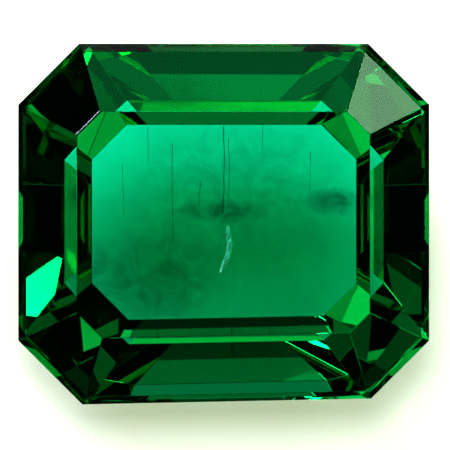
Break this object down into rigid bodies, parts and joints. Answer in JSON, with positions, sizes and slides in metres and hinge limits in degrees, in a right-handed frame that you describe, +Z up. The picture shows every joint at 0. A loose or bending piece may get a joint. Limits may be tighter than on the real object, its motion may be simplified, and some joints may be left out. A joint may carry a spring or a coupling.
{
  "type": "emerald-cut emerald gemstone",
  "caption": "Loose step-cut octagonal emerald with a flat table, cut corners and a small long culet to rest on.",
  "frame": {"origin": "middle of the culet, the small flat that the stone stands on", "axes": "+Z up through the table, +X along the stone's length, +Y across it"},
  "size_m": [0.0124, 0.0109, 0.0054],
  "materials": {
    "emerald": "polished facets, clear deep green"
  },
  "bodies": {
    "root": {"cut_emerald": "emerald"}
  },
  "joints": []
}
